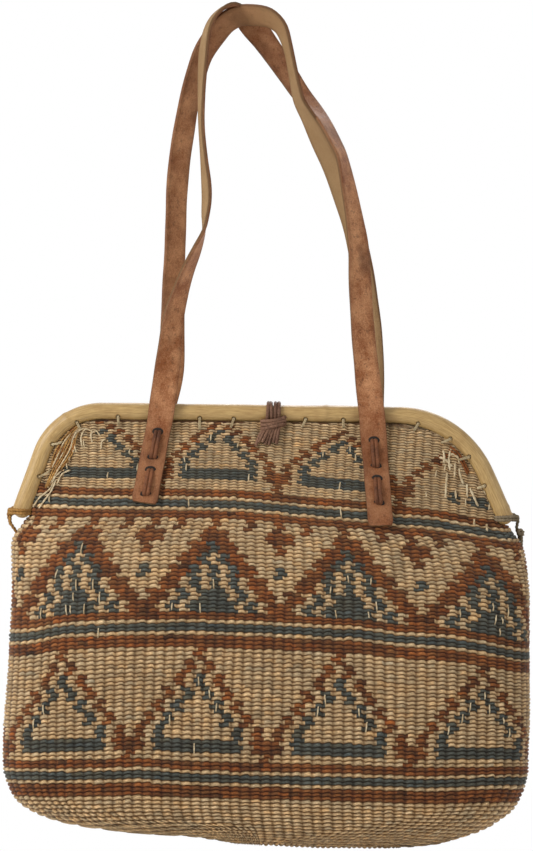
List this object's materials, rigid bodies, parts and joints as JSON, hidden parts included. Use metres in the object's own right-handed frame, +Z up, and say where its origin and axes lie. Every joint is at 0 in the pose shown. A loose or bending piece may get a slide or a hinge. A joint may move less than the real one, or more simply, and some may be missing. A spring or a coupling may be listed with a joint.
{
  "type": "carpet bag",
  "caption": "Woven sisal carpet bag: two bent cane hoops hinge on cord lashings and open its mouth, two laced leather shoulder straps carry it, and a thong closure hangs at the front.",
  "frame": {"origin": "on the plane that the base rests on, under the middle of the mouth", "axes": "+Z up, +X to the viewer's right when facing the side with the thong closure, +Y to the back"},
  "size_m": [0.3813, 0.1154, 0.6019],
  "materials": {
    "sisal_weave": "coarse sisal twining in natural, rust and blue-grey",
    "cane": "peeled cane, satin",
    "strap_leather": "oiled leather, worn",
    "thong": "dark leather thong",
    "twine": "natural twine"
  },
  "bodies": {
    "bag": {"woven_body": "sisal_weave", "left_hinge_lashing": "twine", "right_hinge_lashing": "twine"},
    "front_frame": {"front_cane_hoop": "cane", "front_frame_stitches": "twine", "front_strap": "strap_leather", "front_left_lacing": "thong", "front_right_lacing": "thong", "closure_thong": "thong"},
    "rear_frame": {"rear_cane_hoop": "cane", "rear_frame_stitches": "twine", "rear_strap": "strap_leather", "rear_left_lacing": "thong", "rear_right_lacing": "thong"}
  },
  "joints": [
    {"name": "front_frame_hinge", "type": "hinge", "parent": "bag", "child": "front_frame", "pos_m": [0, -0.0082, 0.24], "axis": [1, 0, 0], "range_deg": [0, 40], "deforming": ["woven_body"]},
    {"name": "rear_frame_hinge", "type": "hinge", "parent": "bag", "child": "rear_frame", "pos_m": [0, 0.0082, 0.24], "axis": [-1, 0, 0], "range_deg": [0, 40], "deforming": ["woven_body"]}
  ]
}
